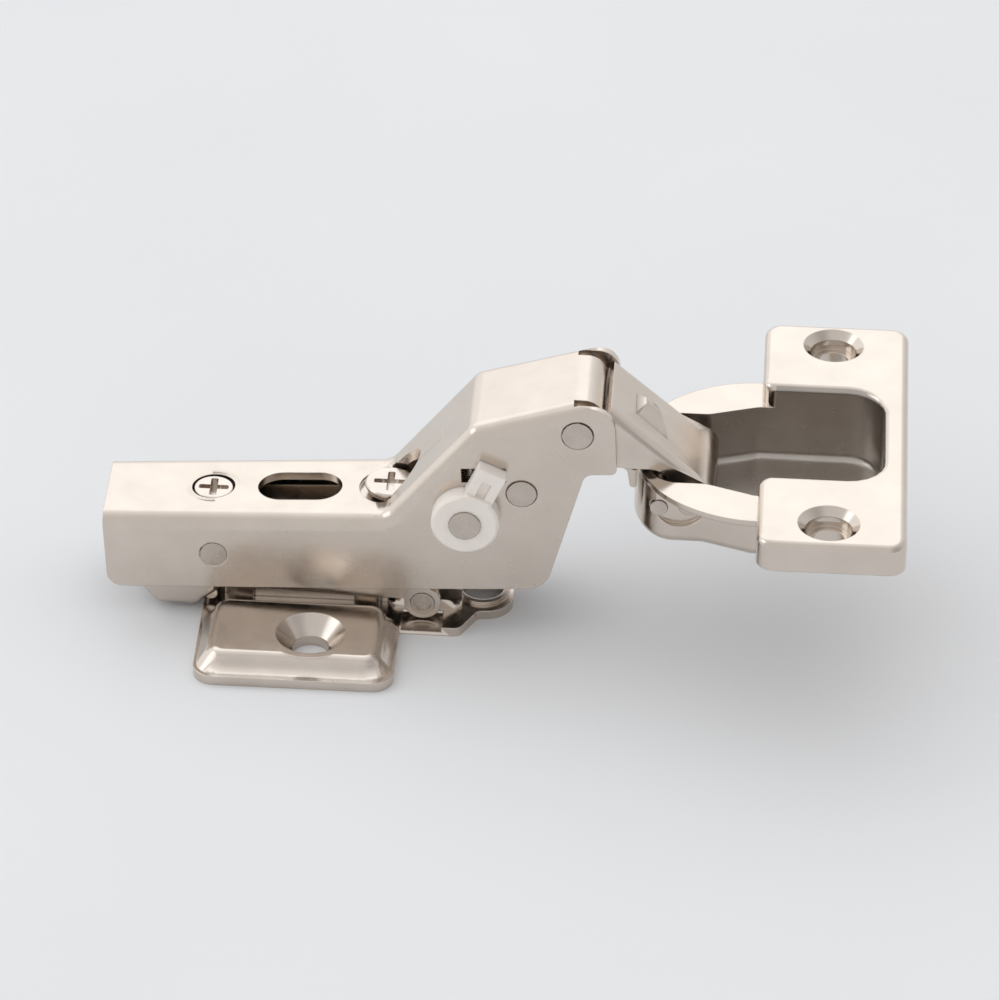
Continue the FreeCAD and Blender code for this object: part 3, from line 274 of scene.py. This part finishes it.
# ---------------------------------------------------------------- pieces

def keep_piece(work, name, finish, body, sharp=30.0):
    """Turns a finished bmesh into a named piece that rides on one of the hinge's bodies."""
    bmesh.ops.remove_doubles(work, verts=work.verts, dist=0.001 * mm)
    bmesh.ops.recalc_face_normals(work, faces=work.faces)
    for face in work.faces:
        face.smooth = True
    mesh = bpy.data.meshes.new(name)
    work.to_mesh(mesh)
    work.free()
    mesh.set_sharp_from_angle(angle=math.radians(sharp))
    mesh.materials.append(finish)
    piece = bpy.data.objects.new(name, mesh)
    bpy.context.scene.collection.objects.link(piece)
    even = piece.modifiers.new("even_shading", "WEIGHTED_NORMAL")
    even.keep_sharp = True
    even.weight = 100
    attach(piece, body)
    return piece


def close_ends(work):
    """Fills the open rings that a spin leaves at both ends of a wire."""
    rims = [edge for edge in work.edges if edge.is_boundary]
    bmesh.ops.holes_fill(work, edges=rims, sides=0)


def in_arm_frame(place, across, height):
    """A point given in the arm's own frame, which is pitched up by 3 degrees."""
    return Matrix.Rotation(math.radians(-3.0), 4, "Y") @ Matrix.Translation((place * mm, across * mm, height * mm))


def wind_spring(name, side, finish, node):
    """One closing spring: a turn and a half of heavy wire round the axle, inside one arm wall."""
    wire, coil = 0.74 * mm, 3.36 * mm
    start, run = 3.65 * mm, 2.30 * mm
    turns, steps = 1.5, 84
    work = bmesh.new()
    ring = bmesh.ops.create_circle(work, cap_ends=False, radius=wire, segments=14)
    bmesh.ops.translate(work, verts=ring["verts"], vec=(coil, side * start, 0.0))
    bmesh.ops.spin(work, geom=work.edges[:], cent=(0, 0, 0), axis=(0, 1, 0),
                   dvec=(0, side * run / steps, 0), angle=turns * math.tau, steps=steps)
    close_ends(work)
    bmesh.ops.transform(work, matrix=in_arm_frame(24.1, 0.0, 18.6), verts=work.verts)
    spring = keep_piece(work, name, finish, "arm")
    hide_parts(node)


def press_lip(name, start_angle, finish):
    """One of the two pressed crescents round the adjusting screw's hole: a low ramp that grows out of the sheet."""
    bead, reach = 0.20 * mm, 3.55 * mm
    sweep, steps = math.radians(118.0), 30
    work = bmesh.new()
    ring = bmesh.ops.create_circle(work, cap_ends=False, radius=bead, segments=10)
    bmesh.ops.scale(work, verts=ring["verts"], vec=(1.3, 0.8, 1.0))
    bmesh.ops.rotate(work, verts=ring["verts"], cent=(0, 0, 0), matrix=Matrix.Rotation(math.pi / 2, 3, "X"))
    bmesh.ops.translate(work, verts=ring["verts"], vec=(reach, 0.0, -0.17 * mm))
    bmesh.ops.rotate(work, verts=ring["verts"], cent=(0, 0, 0), matrix=Matrix.Rotation(start_angle, 3, "Z"))
    bmesh.ops.spin(work, geom=work.edges[:], cent=(0, 0, 0), axis=(0, 0, 1),
                   dvec=(0, 0, 0.20 * mm / steps), angle=sweep, steps=steps)
    close_ends(work)
    bmesh.ops.transform(work, matrix=in_arm_frame(-12.1, 0.0, 17.77), verts=work.verts)
    keep_piece(work, name, finish, "arm")


def straight_block(corners, top, bottom, bend=0.0, steps=6):
    """A block from an outline of (x, y, corner radius) in mm, its lower edges rounded by bend."""
    work = bmesh.new()
    points = [work.verts.new((x * mm, y * mm, top * mm)) for x, y, _ in corners]
    work.faces.new(points)
    places = [point.co.copy() for point in points]
    for i, (point, (_, _, radius)) in enumerate(zip(points, corners)):
        if radius:
            turn = (places[i] - places[i - 1]).angle(places[(i + 1) % len(places)] - places[i])
            bmesh.ops.bevel(work, geom=[point], offset=radius * mm * math.tan(turn / 2), offset_type="OFFSET",
                            affect="VERTICES", segments=steps, profile=0.5, material=-1)
    pulled = bmesh.ops.extrude_face_region(work, geom=work.faces[:])
    lower = [item for item in pulled["geom"] if isinstance(item, bmesh.types.BMVert)]
    bmesh.ops.translate(work, verts=lower, vec=(0, 0, (bottom - top) * mm))
    bmesh.ops.recalc_face_normals(work, faces=work.faces)
    if bend:
        low = [edge for edge in work.edges if all(abs(v.co.z - bottom * mm) < 1e-7 for v in edge.verts)]
        bmesh.ops.bevel(work, geom=low, offset=bend * mm, offset_type="OFFSET", affect="EDGES",
                        segments=5, profile=0.5, material=-1)
    return work


def round_bar(radius, length, centre, along="Z", steps=64):
    """A plain round tool for a bore or a boss, in mm."""
    work = bmesh.new()
    bmesh.ops.create_cone(work, cap_ends=True, segments=steps, radius1=radius * mm, radius2=radius * mm,
                          depth=length * mm)
    if along == "Y":
        bmesh.ops.rotate(work, verts=work.verts, cent=(0, 0, 0), matrix=Matrix.Rotation(math.pi / 2, 3, "X"))
    bmesh.ops.translate(work, verts=work.verts, vec=[value * mm for value in centre])
    return work


def turned_tool(profile, centre, steps=56):
    """A tool spun from a profile of (radius, height) in mm that starts and ends on its axis."""
    work = bmesh.new()
    points = [work.verts.new((radius * mm, 0.0, height * mm)) for radius, height in profile]
    for first, second in zip(points, points[1:]):
        work.edges.new((first, second))
    bmesh.ops.spin(work, geom=work.verts[:] + work.edges[:], cent=(0, 0, 0), axis=(0, 0, 1),
                   angle=math.tau, steps=steps, use_merge=True)
    bmesh.ops.remove_doubles(work, verts=work.verts, dist=0.0005 * mm)
    bmesh.ops.recalc_face_normals(work, faces=work.faces)
    bmesh.ops.translate(work, verts=work.verts, vec=[value * mm for value in centre])
    return work


def shape_from(first, *steps):
    """Joins and cuts blocks in order, each step being ("UNION" or "DIFFERENCE", block, part of the finish)."""
    helpers = []

    def stand_in(work, part):
        for face in work.faces:
            face.material_index = part
        mesh = bpy.data.meshes.new("helper")
        work.to_mesh(mesh)
        work.free()
        mesh.materials.append(None)
        mesh.materials.append(None)
        helper = bpy.data.objects.new("helper", mesh)
        bpy.context.scene.collection.objects.link(helper)
        helpers.append(helper)
        return helper

    body = stand_in(first, 0)
    for how, work, part in steps:
        join = body.modifiers.new(how, "BOOLEAN")
        join.operation = how
        join.solver = "EXACT"
        join.object = stand_in(work, part)
    bpy.context.view_layer.update()
    graph = bpy.context.evaluated_depsgraph_get()
    result = bmesh.new()
    result.from_mesh(body.evaluated_get(graph).to_mesh())
    for helper in helpers:
        mesh = helper.data
        bpy.data.objects.remove(helper)
        bpy.data.meshes.remove(mesh)
    bmesh.ops.remove_doubles(result, verts=result.verts, dist=0.004 * mm)
    bmesh.ops.dissolve_degenerate(result, edges=result.edges, dist=0.004 * mm)
    bmesh.ops.dissolve_limit(result, angle_limit=math.radians(1.0), verts=result.verts, edges=result.edges,
                             delimit={"MATERIAL"})
    return result


def pot_half(wall):
    """One side of the pot's outline, or of its hollow one wall further in, as (x, y, corner radius) in mm."""
    return [(-17.3 + wall, 3.6 - 0.25 * wall, 8.0 - wall), (-15.6 + 0.75 * wall, 8.0 - 0.65 * wall, 6.0 - wall),
            (-13.0 + 0.35 * wall, 10.0 - wall, 4.0 - wall), (-7.7 + 0.3 * wall, 10.0 - wall, 3.0),
            (-0.8 + 0.3 * wall, 12.4 - wall, 3.0), (18.2 - wall, 12.4 - wall, 5.5 - 0.4 * wall)]


def pot_outline(wall):
    half = pot_half(wall)
    return half + [(x, -y, radius) for x, y, radius in reversed(half)]


def draw_cup(finish, inside):
    """The hinge cup: a deep-drawn pot hung in a C-shaped flange that has pressed screw seats and a rolled rim."""
    wall, face, disc_top, depth = 1.2, -4.5, -3.65, 13.2
    inner, front, turned = 12.4 - wall, 18.2 - wall, 5.5 - 0.4 * wall
    flange = straight_block([
        (0, 28, 2.5), (0, inner, 2.0), (front, inner, turned), (front, -inner, turned), (0, -inner, 2.0),
        (0, -28, 2.5), (20.4, -28, 2.5), (20.4, 28, 2.5)], 0.0, face)
    steps = [("UNION", round_bar(17.5, disc_top - face, (0, 0, (face + disc_top) / 2), steps=128), 0)]
    pot = shape_from(straight_block(pot_outline(0.0), disc_top - 0.02, -depth, bend=1.5), *[
        ("DIFFERENCE", round_bar(3.8, 1.6, (-10.9, side * 10.0, -6.4), along="Y"), 0) for side in (-1, 1)])
    steps.append(("UNION", pot, 0))
    for side in (-1, 1):
        under = straight_block([
            (wall, side * 13.4, 1.3), (20.4 - wall, side * 13.4, 1.3),
            (20.4 - wall, side * (28 - wall), 1.3), (wall, side * (28 - wall), 1.3)], -wall, face - 1)
        boss = round_bar(5.5, 6.0, (9.75, side * 22.5, -3.5))
        steps.append(("DIFFERENCE", shape_from(under, ("DIFFERENCE", boss, 0)), 0))
        seat = [(0, -7), (2.2, -7), (2.2, -2.6), (3.2, -2.6), (3.2, -1.1), (5.3, 1.0), (0, 1.0)]
        steps.append(("DIFFERENCE", turned_tool(seat, (9.75, side * 22.5, 0)), 0))
    # Part 1 gives the hollow's faces the second finish, a darker nickel that is painted shade inside the pot.
    steps.append(("DIFFERENCE", straight_block(pot_outline(wall - 0.02), 1.0, wall - depth, bend=1.2), 1))
    steps.append(("DIFFERENCE", straight_block([(-40, -2.7, 0), (-14.1, -2.7, 0), (-14.1, 2.7, 0), (-40, 2.7, 0)],
                                               5.0, -9.4), 0))
    for x, z, radius in ((-9.5, -7.3, 1.43), (-13.7, -7.7, 1.23)):
        steps.append(("DIFFERENCE", round_bar(radius, 60, (x, 0, z), along="Y"), 0))
    cup = shape_from(flange, *steps)
    rim = [edge for edge in cup.edges if len(edge.link_faces) == 2
           and all(abs(v.co.z) < 0.01 * mm for v in edge.verts) and edge.calc_face_angle() > math.radians(70)]
    bmesh.ops.bevel(cup, geom=rim, offset=1.05 * mm, offset_type="OFFSET", affect="EDGES", segments=5,
                    profile=0.5, material=-1)
    bmesh.ops.translate(cup, verts=cup.verts, vec=(63.6 * mm, 0, 30.8 * mm))
    piece = keep_piece(cup, "drawn_cup", finish, "cup")
    # The second finish is the hollow's darker nickel: painted shade inside the pot.
    piece.data.materials.append(inside)
    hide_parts("cup")


def copy_of(node):
    """A merged copy of a CAD node's mesh, to cut and join further."""
    work = bmesh.new()
    work.from_mesh(cad_nodes[node].data)
    bmesh.ops.remove_doubles(work, verts=work.verts, dist=0.0005 * mm)
    return work


def pitched(work, matrix):
    bmesh.ops.transform(work, matrix=matrix, verts=work.verts)
    return work


def cross_recess(centre, top, reach, half, depth):
    """The two bars of a cross-shaped driver recess."""
    bars = []
    for wide, tall in ((reach, half), (half, reach)):
        bar = straight_block([(-wide, -tall, 0.25), (wide, -tall, 0.25), (wide, tall, 0.25), (-wide, tall, 0.25)],
                             top + 1.0, top - depth, steps=3)
        bmesh.ops.translate(bar, verts=bar.verts, vec=(centre * mm, 0, 0))
        bars.append(("DIFFERENCE", bar, 0))
    return bars


def punch_arm(finish):
    """The cranked arm, with the round driver opening punched through its slope and the adjusting screw's hole."""
    level = in_arm_frame(0.0, 0.0, 0.0)
    rise = math.tan(math.radians(48.5))
    patch = bmesh.new()
    sheet = [(16.4, 17.80 + 4.0 * rise), (20.6, 17.80 + 8.2 * rise),
             (20.6 + 1.2 / rise, 17.77 + 8.2 * rise - 0.7), (16.9, 20.9)]
    patch.faces.new([patch.verts.new((x * mm, -1.6 * mm, z * mm)) for x, z in sheet])
    pulled = bmesh.ops.extrude_face_region(patch, geom=patch.faces[:])
    bmesh.ops.translate(patch, verts=[v for v in pulled["geom"] if isinstance(v, bmesh.types.BMVert)],
                        vec=(0, 3.2 * mm, 0))
    bmesh.ops.recalc_face_normals(patch, faces=patch.faces)
    rings = []
    for place, height, head in ((40.07, 31.75, 2.1), (32.0, 22.16, 2.05), (-11.76, 11.53, 1.85)):
        for side in (-1, 1):
            ring = round_bar(head + 0.17, 1.2, (place, side * 8.5, height), along="Y")
            rings.append(("DIFFERENCE", pitched(ring, level), 0))
    arm = shape_from(copy_of("arm"), *rings,
                     ("UNION", pitched(patch, level), 0),
                     ("DIFFERENCE", pitched(round_bar(3.9, 12.0, (13.5, 0, 17.80 + 6.0)), level), 0),
                     ("DIFFERENCE", pitched(round_bar(3.05, 4.0, (-12.1, 0, 17.0)), level), 0))
    piece = keep_piece(arm, "cranked_arm", finish, "arm")
    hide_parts("arm")


def cut_screws(finish):
    """Both driven screws, with their cross recesses deep enough to read as black."""
    low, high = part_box("adjusting_screw")
    centre, top = (low[0] + high[0]) / 2 / mm, high[2] / mm
    disc = round_bar(2.75, 1.9, (centre, 0, top - 0.95))
    rim = [edge for edge in disc.edges if all(v.co.z > (top - 0.1) * mm for v in edge.verts)]
    bmesh.ops.bevel(disc, geom=rim, offset=0.2 * mm, offset_type="OFFSET", affect="EDGES", segments=3,
                    profile=0.5, material=-1)
    screw = shape_from(copy_of("adjusting_screw"), ("UNION", disc, 0), *cross_recess(centre, top, 2.1, 0.5, 1.3))
    piece = keep_piece(screw, "adjusting_head", finish, "adjusting_screw")
    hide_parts("adjusting_screw")
    low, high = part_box("fixing_screw")
    centre, top = (low[0] + high[0]) / 2 / mm, high[2] / mm
    screw = shape_from(copy_of("fixing_screw"), *cross_recess(centre, top, 2.35, 0.5, 1.0))
    piece = keep_piece(screw, "fixing_head", finish, "fixing_screw")
    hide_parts("fixing_screw")


def press_link(finish):
    """The outer link with the stiffening pyramid that is pressed up in its web."""
    frame_of_link = Matrix.Translation((38.353 * mm, 0, 33.804 * mm)) @ Matrix.Rotation(math.radians(33.2), 4, "Y")
    rib = straight_block([(4.9, 4.9, 0.6), (5.2, -5.0, 0.6), (13.6, -3.6, 0.6), (11.4, 1.6, 0.6)], 5.7, 3.3)
    crown = [v for v in rib.verts if v.co.z > 5.0 * mm]
    middle = Vector((8.1 * mm, 0.2 * mm, 0))
    bmesh.ops.scale(rib, verts=crown, vec=(0.30, 0.16, 1.0), space=Matrix.Translation(-middle))
    link = shape_from(copy_of("outer_link"), ("UNION", pitched(rib, frame_of_link), 0))
    piece = keep_piece(link, "pressed_link", finish, "outer_link")
    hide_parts("outer_link")


def press_plate(finish):
    """The mounting plate, its two screw trays drawn with sloping walls and a soft rim."""
    steps = []
    for side in (-1, 1):
        tray = straight_block([(-13.8, side * 7.1, 3.2), (13.8, side * 7.1, 3.2), (13.8, side * 23.8, 3.2),
                               (-13.8, side * 23.8, 3.2)], 3.9, 1.2)
        crown = [v for v in tray.verts if v.co.z > 3.8 * mm]
        bmesh.ops.scale(tray, verts=crown, vec=(0.845, 0.743, 1.0),
                        space=Matrix.Translation((0, -side * 15.4 * mm, 0)))
        rim = [edge for edge in tray.edges if all(v.co.z > 3.8 * mm for v in edge.verts)]
        bmesh.ops.bevel(tray, geom=rim, offset=1.2 * mm, offset_type="OFFSET", affect="EDGES", segments=5,
                        profile=0.5, material=-1)
        hollow = straight_block([(-10.9, side * 9.0, 1.2), (10.9, side * 9.0, 1.2), (10.9, side * 20.9, 1.2),
                                 (-10.9, side * 20.9, 1.2)], 2.5, 0.5)
        steps.append(("UNION", shape_from(tray, ("DIFFERENCE", hollow, 0)), 0))
        seat = [(0, -1), (2.54, -1), (2.54, 1.53), (4.91, 3.9), (5.91, 4.9), (0, 4.9)]
        steps.append(("DIFFERENCE", turned_tool(seat, (2.0, side * 16.0, 0)), 0))
    plate = shape_from(copy_of("base_plate"), *steps)
    piece = keep_piece(plate, "mounting_plate", finish, "base")
    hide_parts("base_plate")


def groove_hook_pin(finish):
    """The front cross pin, with a turned ring sunk into each end."""
    low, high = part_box("hook_pin")
    x, z = (low[0] + high[0]) / 2 / mm, (low[2] + high[2]) / 2 / mm
    steps = []
    for side, end in ((-1, low[1] / mm), (1, high[1] / mm)):
        ring = shape_from(round_bar(1.25, 1.0, (x, end, z), along="Y"),
                          ("DIFFERENCE", round_bar(0.75, 1.4, (x, end, z), along="Y"), 0))
        steps.append(("DIFFERENCE", ring, 0))
    pin = shape_from(copy_of("hook_pin"), *steps)
    piece = keep_piece(pin, "grooved_pin", finish, "base")
    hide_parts("hook_pin")


def mould_collar(name, side, finish, node):
    """A nylon collar on one end of the spring's axle: the ring stands proud of a lug with two ribs."""
    level = in_arm_frame(24.1, 0.0, 18.6) @ Matrix.Rotation(math.radians(-63.0), 4, "Y")
    wall, thick = 8.43, 2.6

    def slab(left, right, low, high, inner, outer):
        work = straight_block([(left, low, 0), (right, low, 0), (right, high, 0), (left, high, 0)], outer, inner)
        bmesh.ops.rotate(work, verts=work.verts, cent=(0, 0, 0), matrix=Matrix.Rotation(-math.pi / 2, 3, "X"))
        if side < 0:
            bmesh.ops.mirror(work, geom=work.verts[:] + work.edges[:] + work.faces[:], axis="Y", merge_dist=0)
            old = [v for v in work.verts if v.co.y > 0]
            bmesh.ops.delete(work, geom=old, context="VERTS")
        bmesh.ops.recalc_face_normals(work, faces=work.faces)
        return pitched(work, level)

    collar = shape_from(copy_of(node),
                        ("DIFFERENCE", slab(4.72, 12, -4, 4, wall + thick - 0.45, wall + thick + 1), 0),
                        ("DIFFERENCE", slab(4.72, 7.4, -0.7, 0.7, wall + thick - 1.0, wall + thick + 1), 0))
    piece = keep_piece(collar, name, finish, "arm")
    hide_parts(node)


# ---------------------------------------------------------------- making

set_camera()
lay_bench()
light_studio()

arm_nickel = stamped_nickel("arm_nickel")
coil_steel = spring_wire("coil_steel")
link_nickel = stamped_nickel("link_nickel", gloss=(0.18, 0.26))
dress(link_nickel, "inner_link")
plate_nickel = stamped_nickel("plate_nickel", pale=(0.67, 0.60, 0.54), deep=(0.60, 0.535, 0.475),
                              gloss=(0.17, 0.25), edge=0.2)
dress(plate_nickel, "adapter", "release_lever")
pin_steel = turned_steel("pin_steel", (0.58, 0.515, 0.46), (0.53, 0.47, 0.415), (0.24, 0.32))
dress(pin_steel, "lever_pin", "guide_rivet", "outer_link_pin", "inner_link_pin", "spring_axle",
      "cup_outer_pin", "cup_inner_pin", "link_spacer_front", "link_spacer_back", "foot_retainer")
screw_nickel = turned_steel("screw_nickel", (0.68, 0.61, 0.55), (0.63, 0.565, 0.505), (0.20, 0.28))
collar_nylon = moulded_nylon("collar_nylon")

cup_nickel = stamped_nickel("cup_nickel", gloss=(0.13, 0.19), peening=0.10, edge=0.22)
# Nickel for the pot's hollow, coloured darker than the flange as painted shade in the deep recess; its rougher
# gloss is roughness, not colour.
pot_nickel_painted_shade = stamped_nickel("pot_nickel_painted_shade", pale=(0.50, 0.46, 0.42), deep=(0.44, 0.40, 0.365), gloss=(0.26, 0.36),
                            peening=0.0)
draw_cup(cup_nickel, pot_nickel_painted_shade)
punch_arm(arm_nickel)
cut_screws(screw_nickel)
press_link(link_nickel)
press_plate(plate_nickel)
groove_hook_pin(pin_steel)
mould_collar("collar_ring_front", -1, collar_nylon, "nylon_collar_front")
mould_collar("collar_ring_back", 1, collar_nylon, "nylon_collar_back")
wind_spring("spring_coil_front", -1, coil_steel, "torsion_spring_front")
wind_spring("spring_coil_back", 1, coil_steel, "torsion_spring_back")
press_lip("adjuster_lip_front", math.radians(-20.0), arm_nickel)
press_lip("adjuster_lip_rear", math.radians(160.0), arm_nickel)

bpy.context.scene.view_settings.view_transform = "Standard"
bpy.context.view_layer.update()
